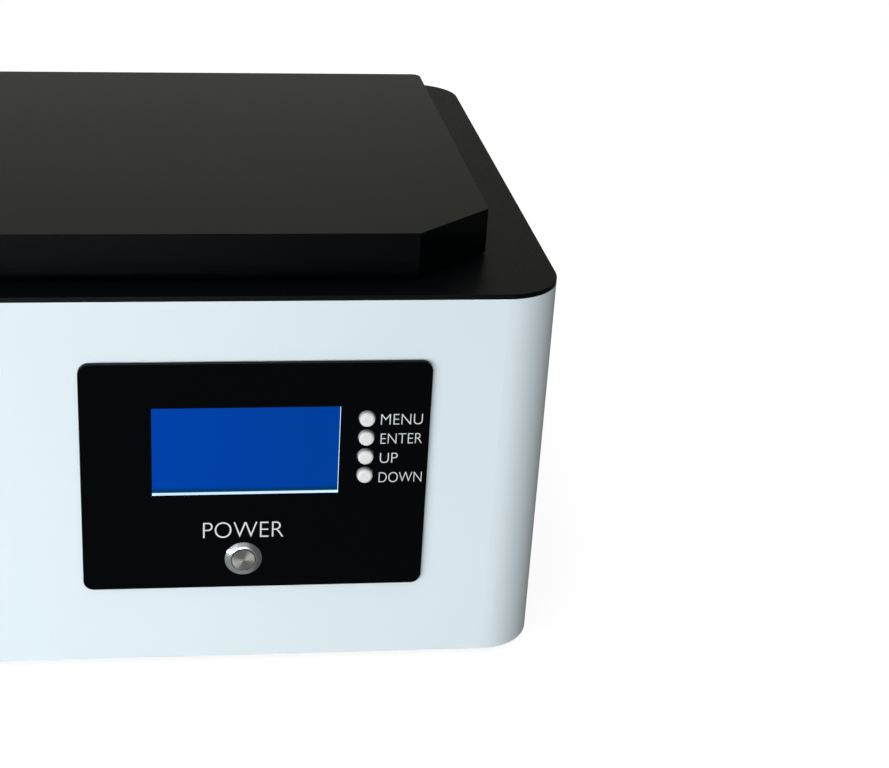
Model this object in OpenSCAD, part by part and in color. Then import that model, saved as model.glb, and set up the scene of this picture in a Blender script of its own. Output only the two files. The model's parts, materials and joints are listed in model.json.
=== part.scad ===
// Low desktop resin printer: a flat lid over a print chamber, with the
// light engine, the lift and the electronics in one white sheet-metal body.
// Lengths are in millimetres, +Z is up, and the origin is on the table
// under the middle of the body. The front face looks along -Y.

/* [Body] */
// Width of the white body
body_w = 322; // [316:1:340]
// Depth of the white body
body_d = 283; // [280:1:300]
// Height of the white body, without deck and feet
body_h = 155.4; // [154:0.2:158]
// Radius of the body's upright corners
corner_r = 22; // [18:1:26]
// Thickness of the body's sheet metal
sheet_t = 1.5; // [1.2:0.1:2]
// Width of the inward lips at the body's top and bottom edges
lip_w = 12; // [10:1:14]
// Thickness of the black deck plate
deck_t = 2; // [1.6:0.2:2.4]
// Height of the body above the table
foot_h = 2; // [2:0.5:6]

/* [Lid] */
// Width of the lid
lid_w = 274; // [270:1:278]
// Depth of the lid
lid_d = 219.5; // [218:0.5:221]
// Height of the lid's walls
lid_h = 17.8; // [17:0.2:19]
// Gap between the lid's rim and the deck
lid_gap = 0.8; // [0.6:0.1:1]
// Distance from the body's front face to the lid's front wall
lid_setback = 15.5; // [14:0.5:17]
// Corner cut, measured along the lid's front
cut_x = 30.5; // [26:0.5:34]
// Corner cut, measured along the lid's side
cut_y = 27; // [24:0.5:30]

/* [Control panel] */
// Width of the black panel
panel_w = 133.4; // [130:0.2:136]
// Height of the black panel
panel_h = 97.2; // [96:0.2:99]
// Thickness of the black panel
panel_t = 2; // [1.8:0.1:2.2]
// Panel's middle, right of the body's middle
panel_x = 44.7; // [42:0.1:47]
// Panel's middle above the body's bottom edge
panel_z = 82.4; // [81:0.1:84]
// Width of the display window
window_w = 72; // [70:0.5:73]
// Height of the display window
window_h = 37.4; // [36:0.2:38]
// Diameter of a menu button
button_d = 6; // [5.6:0.1:6.2]
// Distance between neighbouring menu buttons
button_pitch = 8.1; // [7.9:0.1:8.4]
// Diameter of the power button's rim
power_d = 14.6; // [14:0.1:15]

/* [Print chamber] */
// Width of the deck opening
opening_w = 220; // [216:1:222]
// Depth of the deck opening
opening_d = 194; // [192:1:195]
// Width of the exposure area
mask_w = 130; // [120:1:132]
// Depth of the exposure area
mask_d = 80; // [74:1:82]
// Height of the resin vat
vat_h = 26; // [24:1:27]
// Travel of the build platform
travel = 64; // [40:1:64]

/* [Hidden] */
$fn = 64;
eps = 0.01;

// Colours
white_paint = [0.86, 0.91, 0.93];
black_paint = [0.10, 0.10, 0.10];
gloss_black = [0.02, 0.02, 0.03];
steel = [0.72, 0.73, 0.74];
aluminium = [0.80, 0.81, 0.83];
brass = [0.80, 0.63, 0.30];
board_green = [0.08, 0.32, 0.18];
board_blue = [0.07, 0.20, 0.45];
rubber = [0.12, 0.12, 0.12];

// Heights above the body's bottom edge
deck_top = body_h + deck_t;
lid_bottom = deck_top + lid_gap;
lid_top = lid_bottom + lid_h;
lid_t = 1.5;
base_t = 2;
base_z = sheet_t;
base_top = base_z + base_t;
foot_recess = 0.8;
vat_floor_z = 62;
vat_plate_t = 6;
film_t = 0.3;

// Print chamber, with y measured back from the front face
chamber_y0 = 32;
liner_t = 1.5;
collar_h = 6;
vat_y = 112;
vat_w = 184;
vat_d = 126;
vat_wall = 12;
vat_step_z = 14;
vat_knob_x = 85;

// Light engine under the vat
fan_s = 80;
fan_t = 15;
fan_z = base_top + 4;
fan_bore_r = 37;
rotor_r = 35.5;
rotor_hub_r = 15;
rotor_lift = 2.8;
fan_post_r = 2;
blade_count = 7;
sink_z = fan_z + fan_t;
sink_fin_h = 9;
led_z = sink_z + sink_fin_h + 3;
led_board_t = 1.6;
lens_pitch = 18;
lens_columns = 7;
lens_rows = 4;
mask_t = 2.4;
mask_border = 8;

// Lift
lift_y = 206;
motor_s = 42.3;
motor_h = 34;
motor_z = base_top;
mount_z = motor_z + motor_h;
column_y = 216;
column_t = 6;
column_w = 72;
column_top = 166;
bearing_z = 158;
rail_x = 24;
rail_w = 9;
rail_h = 6.5;
rail_z0 = 50;
screw_r = 4;
screw_z0 = 50;
screw_top = 164;
coupler_r = 9.5;
coupler_z0 = 42.5;
coupler_h = 18;
run_gap = 0.05;

// Platform parked at its highest place
platform_z = vat_floor_z + 1 + travel;
platform_w = mask_w + 2;
platform_d = mask_d + 2;
platform_t = 10;
post_h = 18;
arm_z = platform_z + platform_t + post_h;
arm_t = 8;
arm_w = 40;
carriage_h = 45;
carriage_t = 4;
carriage_y = 196;
carriage_z = arm_z + arm_t - carriage_h;
nut_z = carriage_z + 12;
boss_h = 14;
nut_r = 5.5;
notch_w = 22;
knob_h = 9.5;

// Controls on the front
window_x = 41;
window_z = 94.1;
button_x = 87;
button_top_z = 107.6;
button_proud = 2.2;
button_gap = 0.4;
key_slot_w = 9.2;
glass_y = 2.9;
power_x = 40.5;
power_z = 46.8;
power_barrel_r = 6;
power_rim_h = 1.4;
power_rim_r = 5.2;
power_cap_r = 4.5;
power_bore_r = 4.9;
power_bore_depth = 1.6;
power_stem_r = 3;
power_stem_len = 2;
power_barrel_len = 18;
power_nut_r = 8.1;
power_nut_t = 2;
power_proud = 1.6;
front_reach = panel_t + max(power_proud, button_proud);

// M3 screws
screw_r3 = 1.5;
screw_hole_r = 1.7;

// Rear
rear_w = 236;
rear_h = 104;
rear_z = 66;
rear_t = 1.5;
inlet_x = 88;
inlet_z = 52;
inlet_w = 28;
inlet_h = 48;
socket_w = 24;
socket_h = 17;
socket_depth = 17;
pin_recess = 6;
rocker_w = 19;
rocker_h = 13;
rocker_dz = 14;
rocker_axis = -0.5;
rocker_pin_r = 1;
rocker_tilt = 8;
exhaust_x = -70;
exhaust_z = 66;
exhaust_r = 28;
exhaust_s = 60;
exhaust_t = 15;
usb_x = 60;
usb_z = 52;

// Lid hinges
hinge_x = 85;
hinge_w = 30;
knuckle_r = 4;
hinge_pin_r = 2;
hinge_y = lid_setback + lid_d + knuckle_r + 0.2;
hinge_z = deck_top + knuckle_r + 0.4;
leaf_t = 1.8;
base_leaf_t = 2;
knuckle_gap = 0.3;

// ---------- shared shapes ----------

// Rectangle with round corners, centred on x, from y = 0
module round_rect(w, d, r) {
    translate([-w / 2, r]) square([w, d - 2 * r]);
    translate([-w / 2 + r, 0]) square([w - 2 * r, d]);
    for (x = [-w / 2 + r, w / 2 - r], y = [r, d - r])
        translate([x, y]) circle(r);
}

// Plate with round corners standing in the x-z plane, its front at y, its thickness towards +y
module wall_plate(w, h, r, t) {
    rotate([90, 0, 0])
        translate([0, -h / 2, -t])
            linear_extrude(t) round_rect(w, h, r);
}

// Box centred on x and y, standing on z = 0
module block(w, d, h) {
    translate([-w / 2, -d / 2, 0]) cube([w, d, h]);
}

// Round bar along +y from y = 0
module bar_y(r, l) {
    rotate([-90, 0, 0]) cylinder(r = r, h = l);
}

// Round bar along x, centred
module bar_x(r, l) {
    rotate([0, 90, 0]) cylinder(r = r, h = l, center = true);
}

// Pan-head screw pointing down, its head standing on z = 0
module pan_screw(r, l) {
    cylinder(r = r * 1.9, h = r * 1.1);
    translate([0, 0, -l]) cylinder(r = r, h = l + eps);
}

// Moves children from the body's own frame (front face y = 0, bottom edge z = 0) to the part frame
module placed() {
    translate([0, -body_d / 2, foot_h]) children();
}

// ---------- casing ----------

module body_outline(inset) {
    translate([0, inset])
        round_rect(body_w - 2 * inset, body_d - 2 * inset, corner_r - inset);
}

module body_shell() {
    color(white_paint) placed() difference() {
        linear_extrude(body_h) body_outline(0);
        translate([0, 0, sheet_t]) linear_extrude(body_h - 2 * sheet_t) body_outline(sheet_t);
        translate([0, 0, -1]) linear_extrude(body_h + 2) body_outline(lip_w);
        // window for the display, and a slot for the menu buttons
        translate([window_x - window_w / 2, -1, window_z - window_h / 2])
            cube([window_w, lip_w, window_h]);
        translate([button_x - key_slot_w / 2, -1, button_top_z - 3 * button_pitch - key_slot_w / 2])
            cube([key_slot_w, lip_w, 3 * button_pitch + key_slot_w]);
        // hole for the power button's barrel
        translate([power_x, -1, power_z]) bar_y(power_barrel_r + 0.2, lip_w);
        // rear opening, covered by the rear panel
        translate([0, body_d + 1, rear_z])
            translate([-rear_w / 2 + 8, -lip_w, -rear_h / 2 + 8])
                cube([rear_w - 16, lip_w, rear_h - 16]);
        for (p = rear_screw_places()) translate([p[0], body_d - 6, p[1]]) bar_y(screw_hole_r, 10);
        for (p = edge_screw_places()) {
            translate([p[0], p[1], body_h - 4]) cylinder(r = screw_hole_r, h = 8);
            translate([p[0], p[1], -2]) cylinder(r = screw_hole_r, h = 6);
        }
        // side louvres
        for (side = [-1, 1], i = [0 : 7])
            translate([side * body_w / 2 - 5, 150 + i * 10, 24]) cube([10, 4, 40]);
    }
}

function rear_screw_places() = [
    for (x = [-1, 1], z = [-1, 1]) [x * (rear_w / 2 - 4), rear_z + z * (rear_h / 2 - 4)]
];
function edge_screw_places() = [
    for (x = [-1, 0, 1], y = [7, body_d - 7]) [x * (body_w / 2 - 26), y]
];
function leaf_screw_places() = [
    for (s = [-1, 1], dx = [-9, 9]) [s * hinge_x + dx, hinge_y + 16]
];
function foot_places() = [
    for (x = [-1, 1], y = [32, body_d - 32]) [x * (body_w / 2 - 34), y]
];

module base_plate() {
    color(steel) placed() difference() {
        translate([0, 0, base_z]) linear_extrude(base_t) body_outline(sheet_t + 0.5);
        for (i = [-5 : 5]) translate([i * 12 - 2, vat_y - 34, 0]) cube([4, 68, 8]);
        for (p = edge_screw_places()) translate([p[0], p[1], 0]) cylinder(r = screw_r3, h = 8);
        for (p = foot_places()) translate([p[0], p[1], 0]) cylinder(r = 2, h = 8);
    }
}

module rubber_feet() {
    color(rubber) placed() for (p = foot_places())
        translate([p[0], p[1], -foot_h]) rotate_extrude() polygon([
            [0, foot_recess], [4.5, foot_recess], [4.5, 0], [9, 0], [10, 1],
            [11, foot_h + base_z], [0, foot_h + base_z]
        ]);
}

module rear_panel() {
    color(black_paint) placed() translate([0, body_d, rear_z]) difference() {
        wall_plate(rear_w, rear_h, 5, rear_t);
        translate([inlet_x, -1, inlet_z - rear_z])
            translate([-inlet_w / 2 + 2, 0, -inlet_h / 2 + 2]) cube([inlet_w - 4, 5, inlet_h - 4]);
        translate([usb_x - 7.4, -1, usb_z - rear_z - 3.8]) cube([14.8, 5, 7.6]);
        for (p = rear_screw_places()) translate([p[0], -1, p[1] - rear_z]) bar_y(screw_hole_r, 5);
        // exhaust grille of round holes
        for (ring = [1 : 3], k = [0 : ring * 6 - 1])
            grille_place(ring, k) bar_y(2.6, 5);
        translate([exhaust_x, -1, exhaust_z - rear_z]) bar_y(2.6, 5);
        for (i = [0 : 4]) translate([-12 + i * 10, -1, -30]) cube([4, 5, 60]);
    }
}

// Places one hole of the exhaust grille
module grille_place(ring, k) {
    a = k * 60 / ring;
    r = ring * exhaust_r / 3.4;
    translate([exhaust_x + r * cos(a), -1, exhaust_z - rear_z + r * sin(a)]) children();
}

module fan_guard() {
    color(steel) placed() translate([exhaust_x, body_d + rear_t, exhaust_z]) {
        wire_y = front_reach - rear_t - 1.6;
        for (r = [10, 19, exhaust_r])
            translate([0, wire_y, 0]) rotate([-90, 0, 0]) difference() {
                cylinder(r = r + 0.8, h = 1.6);
                translate([0, 0, -1]) cylinder(r = r - 0.8, h = 4);
            }
        translate([0, wire_y, 0]) for (a = [45, 135])
            rotate([0, a, 0]) translate([-exhaust_r - 5, 0, -0.8]) cube([2 * exhaust_r + 10, 1.6, 1.6]);
        for (a = [45 : 90 : 315])
            translate([(exhaust_r + 5) * cos(a), 0, (exhaust_r + 5) * sin(a)]) bar_y(3, front_reach - rear_t);
    }
}

// All the casing's M3 pan-head screws: rear panel, deck, base plate and hinge leaves
module case_screws() {
    color(steel) placed() {
        for (p = rear_screw_places())
            translate([p[0], body_d + rear_t, p[1]]) rotate([-90, 0, 0]) pan_screw(screw_r3, 6);
        for (p = edge_screw_places()) {
            translate([p[0], p[1], body_h - sheet_t]) rotate([180, 0, 0]) pan_screw(screw_r3, sheet_t + 1);
            translate([p[0], p[1], 0]) rotate([180, 0, 0]) pan_screw(screw_r3, base_top);
        }
        for (p = leaf_screw_places())
            translate([p[0], p[1], deck_top + base_leaf_t]) pan_screw(screw_r3, base_leaf_t + deck_t);
    }
}

module top_deck() {
    color(black_paint) placed() difference() {
        translate([0, 0, body_h]) linear_extrude(deck_t) body_outline(0);
        translate([0, chamber_y0, body_h - 1]) linear_extrude(deck_t + 2)
            round_rect(opening_w, opening_d, 10);
        for (p = edge_screw_places()) translate([p[0], p[1], body_h - 1]) cylinder(r = screw_r3, h = 2);
        for (p = leaf_screw_places())
            translate([p[0], p[1], body_h - 1]) cylinder(r = screw_r3, h = deck_t + 2);
    }
}

// ---------- lid ----------

// Lid outline from y = 0 at its front wall, with cut front corners and small round rear ones
module lid_outline(inset) {
    w = lid_w / 2 - inset;
    cut = inset * 0.4;
    r = 4;
    difference() {
        translate([-w, inset]) square([2 * w, lid_d - 2 * inset]);
        for (s = [-1, 1]) polygon([
            [s * (lid_w / 2 - cut_x - cut), inset - 1],
            [s * (lid_w / 2 - cut_x - cut), inset],
            [s * w, cut_y + cut],
            [s * (w + 1), cut_y + cut],
            [s * (w + 1), inset - 1]
        ]);
        for (s = [-1, 1]) difference() {
            translate([s * w - r, lid_d - inset - r]) square(2 * r);
            translate([s * (w - r), lid_d - inset - r]) circle(r);
            translate([s * (w - r) - r, lid_d - inset - 3 * r]) square([2 * r, 2 * r]);
            translate([s * (w - 2 * r) - r, lid_d - inset - 2 * r]) square([2 * r, 4 * r]);
        }
    }
}

module lid_shell() {
    color(black_paint) placed() translate([0, lid_setback, lid_bottom]) difference() {
        linear_extrude(lid_h) lid_outline(0);
        translate([0, 0, -1]) linear_extrude(lid_h - lid_t + 1) lid_outline(lid_t);
        for (s = [-1, 1], dx = [-10, 10])
            translate([s * hinge_x + dx, lid_d - 4, leaf_screw_z - lid_bottom]) bar_y(1.3, 8);
    }
}

leaf_screw_z = deck_top + 12.6;

module lid_bumpers() {
    color(rubber) placed() for (s = [-1, 1], y = [cut_y + 12, lid_d - 24])
        translate([s * (lid_w / 2 - lid_t - 4), lid_setback + y, lid_bottom - lid_gap])
            cylinder(r = 4, h = lid_gap + lid_h - lid_t);
}

// Hinge barrel pieces: the outer two belong to the base leaf, the middle one to the lid leaf
module knuckle(x, l) {
    translate([x, hinge_y, hinge_z]) bar_x(knuckle_r, l);
}

module hinge_base_leaves() {
    knuckle_l = hinge_w / 3 - knuckle_gap;
    color(black_paint) placed() for (s = [-1, 1]) difference() {
        union() {
            for (k = [-1, 1]) {
                knuckle(s * hinge_x + k * hinge_w / 3, knuckle_l);
                translate([s * hinge_x + k * hinge_w / 3 - knuckle_l / 2, hinge_y, deck_top])
                    cube([knuckle_l, knuckle_r + 1, knuckle_r + 0.4]);
            }
            translate([s * hinge_x - hinge_w / 2, hinge_y + knuckle_r + 0.8, deck_top])
                cube([hinge_w, 20, base_leaf_t]);
        }
        translate([s * hinge_x, hinge_y, hinge_z]) bar_x(hinge_pin_r, hinge_w + 2);
        for (p = leaf_screw_places()) translate([p[0], p[1], deck_top - 1]) cylinder(r = screw_hole_r, h = 5);
    }
}

module hinge_lid_leaves() {
    leaf_y = lid_setback + lid_d;
    color(black_paint) placed() for (s = [-1, 1]) difference() {
        union() {
            knuckle(s * hinge_x, hinge_w / 3 - knuckle_gap);
            translate([s * hinge_x - hinge_w / 6 + knuckle_gap / 2, leaf_y, hinge_z])
                cube([hinge_w / 3 - knuckle_gap, leaf_t, 6]);
            translate([s * hinge_x - hinge_w / 2, leaf_y, hinge_z + knuckle_r + 0.8])
                cube([hinge_w, leaf_t, lid_top - hinge_z - knuckle_r - 2.4]);
        }
        translate([s * hinge_x, hinge_y, hinge_z]) bar_x(hinge_pin_r + run_gap, hinge_w);
        for (dx = [-10, 10]) translate([s * hinge_x + dx, leaf_y - 1, leaf_screw_z]) bar_y(1.6, 5);
    }
}

module hinge_pins() {
    color(steel) placed() for (s = [-1, 1])
        translate([s * hinge_x, hinge_y, hinge_z]) bar_x(hinge_pin_r, hinge_w);
}

module lid_screws() {
    leaf_y = lid_setback + lid_d;
    color(steel) placed() for (s = [-1, 1], dx = [-10, 10])
        translate([s * hinge_x + dx, leaf_y + leaf_t, leaf_screw_z]) rotate([-90, 0, 0]) pan_screw(1.3, 5);
}

// ---------- front controls ----------

module control_panel() {
    color(gloss_black) placed() translate([panel_x, -panel_t, panel_z]) difference() {
        wall_plate(panel_w, panel_h, 4, panel_t);
        translate([window_x - panel_x - window_w / 2, -1, window_z - panel_z - window_h / 2])
            cube([window_w, panel_t + 2, window_h]);
        for (i = [0 : 3])
            translate([button_x - panel_x, -1, button_top_z - i * button_pitch - panel_z])
                bar_y(button_d / 2 + button_gap, panel_t + 2);
        translate([power_x - panel_x, -1, power_z - panel_z]) bar_y(power_barrel_r + 0.2, panel_t + 2);
    }
}

module display_glass() {
    color([0.02, 0.22, 0.62]) placed()
        translate([window_x, glass_y, window_z]) wall_plate(window_w + 2, window_h + 2.6, 0.5, 2);
}

// Metal frame of the display: an opening in front, a pocket for the glass behind
module display_bezel() {
    depth = 9 - sheet_t;
    color(gloss_black) placed() translate([window_x, sheet_t, window_z]) difference() {
        translate([-39, 0, -26]) cube([78, depth, 52]);
        translate([-window_w / 2 - 0.2, -1, -window_h / 2 - 0.2])
            cube([window_w + 0.4, depth, window_h + 0.4]);
        translate([-window_w / 2 - 1.2, glass_y - sheet_t - 0.1, -window_h / 2 - 1.5])
            cube([window_w + 2.4, 4.4, window_h + 3]);
    }
}

module display_board() {
    color(board_blue) placed() translate([window_x, 9, window_z]) difference() {
        translate([-40.5, 0, -29]) cube([81, 1.6, 58]);
        for (x = [-38.5, 38.5], z = [-27, 27]) translate([x, -1, z]) bar_y(1.25, 4);
    }
}

module switch_board() {
    color(board_green) placed() {
        translate([button_x - 4.2, 7.4, button_top_z - 3 * button_pitch - 6])
            cube([9, 1.6, 3 * button_pitch + 12]);
        for (i = [0 : 3])
            translate([button_x - 3, 3.9, button_top_z - i * button_pitch - 3]) cube([6, 3.6, 6]);
    }
}

// Domed menu button with a stem that rests on its switch
module menu_key(i) {
    color("white") placed() translate([button_x, 0, button_top_z - i * button_pitch])
        rotate([90, 0, 0]) rotate_extrude() polygon([
            [0, -3.1], [1.6, -3.1], [1.6, -1.6], [button_d / 2 + 0.9, -1.6],
            [button_d / 2 + 0.9, -0.8], [button_d / 2, -0.8],
            [button_d / 2, panel_t + button_proud - 1.1],
            for (a = [0 : 15 : 90])
                [button_d / 2 - 1.1 + 1.1 * cos(a), panel_t + button_proud - 1.1 + 1.1 * sin(a)],
            [0, panel_t + button_proud]
        ]);
}

// Round metal push button: the rim, its barrel and the body behind the panel
module power_button_housing() {
    color(steel) placed() translate([power_x, -panel_t, power_z]) rotate([90, 0, 0]) difference() {
        union() {
            rotate_extrude() polygon([
                [0, 0], [power_d / 2, 0], [power_d / 2, 0.3],
                [power_rim_r, power_rim_h], [0, power_rim_h]
            ]);
            translate([0, 0, -power_barrel_len]) cylinder(r = power_barrel_r, h = power_barrel_len + eps);
        }
        translate([0, 0, -power_bore_depth]) cylinder(r = power_bore_r, h = 2 * power_bore_depth);
        translate([0, 0, -2 * power_stem_len]) cylinder(r = power_stem_r + 0.2, h = 2 * power_stem_len);
    }
}

module power_button() {
    color(steel) placed() translate([power_x, -panel_t, power_z]) rotate([90, 0, 0]) {
        cylinder(r = power_cap_r, h = power_proud);
        translate([0, 0, -power_stem_len]) cylinder(r = power_stem_r, h = power_stem_len + eps);
    }
}

module power_button_nut() {
    color(steel) placed() translate([power_x, sheet_t, power_z]) rotate([-90, 0, 0]) difference() {
        cylinder(r = power_nut_r, h = power_nut_t, $fn = 6);
        translate([0, 0, -1]) cylinder(r = power_barrel_r + 0.02, h = power_nut_t + 2);
    }
}

// Socket for a memory stick, seen on the rear panel
module usb_port() {
    color(steel) placed() translate([usb_x, body_d + rear_t, usb_z]) mirror([0, 1, 0]) {
        difference() {
            union() {
                translate([-7.2, -0.6, -3.6]) cube([14.4, 16, 7.2]);
                translate([-8.6, -0.6, -5]) cube([17.2, 0.6, 10]);
            }
            translate([-6.5, -1, -2.9]) cube([13, 14, 5.8]);
        }
        translate([-5.6, 0.8, 0.2]) cube([11.2, 13, 1.9]);
    }
}

// ---------- chamber, vat and light engine ----------

module chamber_liner() {
    color(black_paint) placed() difference() {
        union() {
            translate([0, chamber_y0 + 0.2, vat_floor_z]) linear_extrude(deck_top + collar_h - vat_floor_z)
                round_rect(opening_w - 0.4, opening_d - 0.4, 10);
            translate([0, chamber_y0 - 6, body_h - 1.5]) linear_extrude(1.5)
                round_rect(opening_w + 12, opening_d + 12, 16);
        }
        translate([0, chamber_y0 + 0.2 + liner_t, vat_floor_z - 1]) linear_extrude(deck_top + collar_h)
            round_rect(opening_w - 0.4 - 2 * liner_t, opening_d - 0.4 - 2 * liner_t, 10 - liner_t);
    }
}

module vat_plate() {
    z0 = vat_floor_z - vat_plate_t;
    color(aluminium) placed() difference() {
        translate([0, chamber_y0, z0]) linear_extrude(vat_plate_t) round_rect(opening_w, opening_d, 10);
        // seat for the exposure screen, with a smaller window below it
        translate([0, vat_y, vat_floor_z - mask_t])
            block(mask_w + 2 * mask_border, mask_d + 2 * mask_border, mask_t + 1);
        translate([0, vat_y, z0 - 1]) block(mask_w, mask_d, vat_plate_t + 2);
        // room for the lift
        translate([-column_w / 2 - 2, carriage_y - 6, z0 - 1]) cube([column_w + 4, 60, vat_plate_t + 2]);
        for (x = [-1, 1]) translate([x * vat_knob_x, vat_y, z0 - 1]) cylinder(r = 2.6, h = vat_plate_t + 2);
    }
}

module plate_standoffs() {
    h = vat_floor_z - vat_plate_t - base_top;
    color(aluminium) placed() for (x = [-1, 1], y = [46, 178])
        translate([x * 98, y, base_top]) cylinder(r = 6, h = h);
}

module uv_mask_panel() {
    color([0.10, 0.11, 0.16]) placed() translate([0, vat_y, vat_floor_z - mask_t])
        block(mask_w + 2 * mask_border - 0.4, mask_d + 2 * mask_border - 0.4, mask_t);
}

module light_shroud() {
    z0 = led_z + led_board_t;
    h = vat_floor_z - vat_plate_t - z0;
    color(steel) placed() translate([0, vat_y, z0]) difference() {
        block(mask_w + 6, mask_d + 6, h);
        translate([0, 0, -1]) block(mask_w + 3, mask_d + 3, h + 2);
    }
}

module led_board() {
    color("white") placed() translate([0, vat_y, led_z]) block(mask_w + 8, mask_d + 8, led_board_t);
}

module led_lenses() {
    color([0.75, 0.80, 0.90]) placed() translate([0, vat_y, led_z + led_board_t])
        for (i = [0 : lens_columns - 1], j = [0 : lens_rows - 1])
            translate([(i - (lens_columns - 1) / 2) * lens_pitch, (j - (lens_rows - 1) / 2) * lens_pitch, 0])
                cylinder(r1 = 7.6, r2 = 5.5, h = 5);
}

module heat_sink() {
    fins = 15;
    color(aluminium) placed() translate([0, vat_y, sink_z]) {
        translate([0, 0, sink_fin_h]) block(mask_w + 10, mask_d + 10, 3);
        for (i = [0 : fins - 1])
            translate([(i - (fins - 1) / 2) * 9.6, 0, 0]) block(1.8, mask_d + 10, sink_fin_h + eps);
    }
}

module vat_frame() {
    color(gloss_black) placed() translate([0, vat_y, vat_floor_z]) difference() {
        translate([0, -vat_d / 2, 0]) linear_extrude(vat_h) round_rect(vat_w, vat_d, 10);
        translate([0, -vat_d / 2 + vat_wall, -1]) linear_extrude(vat_h + 2)
            round_rect(vat_w - 2 * (vat_wall + 6), vat_d - 2 * vat_wall, 8);
        // recess under the frame for the film and its clamp
        translate([0, -vat_d / 2 + 4, -1]) linear_extrude(5) round_rect(vat_w - 28, vat_d - 8, 8);
        // steps for the two clamp knobs
        for (s = [-1, 1]) {
            translate([s * vat_w / 2, 0, vat_step_z]) block(31, 34, vat_h);
            translate([s * vat_knob_x, 0, -1]) cylinder(r = 3, h = vat_h);
        }
        // pouring corners
        for (s = [-1, 1]) translate([s * (vat_w / 2 - 24), -vat_d / 2 + 8, vat_h - 3])
            rotate([0, 0, s * 45]) block(14, 30, 10);
    }
}

module film_clamp() {
    color(aluminium) placed() translate([0, vat_y, vat_floor_z + film_t]) difference() {
        translate([0, -vat_d / 2 + 4.2, 0]) linear_extrude(3.6) round_rect(vat_w - 28.4, vat_d - 8.4, 8);
        translate([0, -vat_d / 2 + vat_wall, -1]) linear_extrude(6)
            round_rect(vat_w - 2 * (vat_wall + 6), vat_d - 2 * vat_wall, 8);
    }
}

module release_film() {
    color([0.80, 0.84, 0.86, 0.6]) placed() translate([0, vat_y - vat_d / 2 + 4.2, vat_floor_z])
        linear_extrude(film_t) round_rect(vat_w - 28.4, vat_d - 8.4, 8);
}

// Knurled thumb screw that clamps one side of the vat
module vat_knob(side) {
    color(aluminium) placed() translate([side * vat_knob_x, vat_y, vat_floor_z + vat_step_z]) {
        difference() {
            translate([0, 0, 0.3]) cylinder(r = 7, h = 11);
            for (k = [0 : 11]) rotate([0, 0, k * 30]) translate([7.3, 0, -1]) cylinder(r = 0.9, h = 14);
        }
        translate([0, 0, -19]) cylinder(r = 2.5, h = 20);
    }
}

// ---------- lift ----------

module z_column() {
    flange_y = lift_y - 24;
    flange_d = 46;
    color(aluminium) placed() difference() {
        union() {
            translate([-column_w / 2, column_y, base_top]) cube([column_w, column_t, column_top - base_top]);
            translate([-column_w / 2, flange_y, mount_z]) cube([column_w, flange_d, 4]);
            for (s = [-1, 1]) translate([s * (column_w / 2 - 3) - 3, flange_y, base_top])
                cube([6, flange_d, mount_z - base_top + eps]);
            translate([-12, column_y - 15, bearing_z]) cube([24, 15 + eps, column_top - bearing_z]);
        }
        translate([0, lift_y, mount_z - 1]) cylinder(r = 11.2, h = 6);
        for (x = [-15.5, 15.5], y = [-15.5, 15.5])
            translate([x, lift_y + y, mount_z - 1]) cylinder(r = 1.6, h = 6);
        translate([0, lift_y, bearing_z - 1]) cylinder(r = 6, h = 10);
        translate([-motor_s / 2 - 0.3, flange_y - 1, base_top - 1])
            cube([motor_s + 0.6, flange_d + 2, motor_h + 1]);
        // opening that gives room for the coupler and the rear motor screws
        translate([-19, column_y - 1, mount_z + 4]) cube([38, column_t + 2, 20]);
    }
}

module linear_rails() {
    color(steel) placed() for (s = [-1, 1])
        translate([s * rail_x - rail_w / 2, column_y - rail_h, rail_z0])
            difference() {
                cube([rail_w, rail_h, column_top - rail_z0]);
                for (z = [8 : 20 : 108]) translate([rail_w / 2, -1, z]) bar_y(screw_hole_r, 4);
            }
}

module z_motor() {
    color([0.2, 0.2, 0.21]) placed() translate([0, lift_y, motor_z]) {
        intersection() {
            block(motor_s, motor_s, motor_h);
            rotate([0, 0, 45]) block(54, 54, motor_h);
        }
        translate([0, 0, motor_h - eps]) cylinder(r = 11, h = 2);
    }
}

module top_bearing() {
    color(steel) placed() translate([0, lift_y, bearing_z]) difference() {
        cylinder(r = 6, h = 5);
        translate([0, 0, -1]) cylinder(r = screw_r + run_gap, h = 8);
    }
}

module limit_switch() {
    color(black_paint) placed() translate([column_w / 2 - 1, column_y - 8, 96]) {
        cube([4, 8, 20]);
        translate([1, -2, 4]) cube([1.5, 3, 12]);
    }
}

module lead_screw() {
    color(steel) placed() translate([0, lift_y, screw_z0]) cylinder(r = screw_r, h = screw_top - screw_z0);
}

module shaft_coupler() {
    color(aluminium) placed() translate([0, lift_y, coupler_z0]) difference() {
        cylinder(r = coupler_r, h = coupler_h);
        translate([0, 0, screw_z0 - coupler_z0]) cylinder(r = screw_r, h = coupler_h);
        translate([0, 0, -1]) cylinder(r = 2.5, h = 6);
    }
}

module carriage_plate() {
    color(aluminium) placed() difference() {
        union() {
            translate([-34, carriage_y, carriage_z]) cube([68, carriage_t, carriage_h]);
            translate([-12, carriage_y, nut_z]) cube([24, lift_y - carriage_y + 6, boss_h]);
        }
        // notch for the nut's flange, which also clears the coupler at the lowest place
        translate([-notch_w / 2, carriage_y - 1, carriage_z - 1])
            cube([notch_w, carriage_t + 2, nut_z - carriage_z + 1]);
        translate([0, lift_y, nut_z - 1]) cylinder(r = nut_r, h = boss_h + 2);
        for (x = [-26, 26], z = [14, 31]) translate([x, carriage_y - 1, carriage_z + z]) bar_y(1.7, 6);
    }
}

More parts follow.
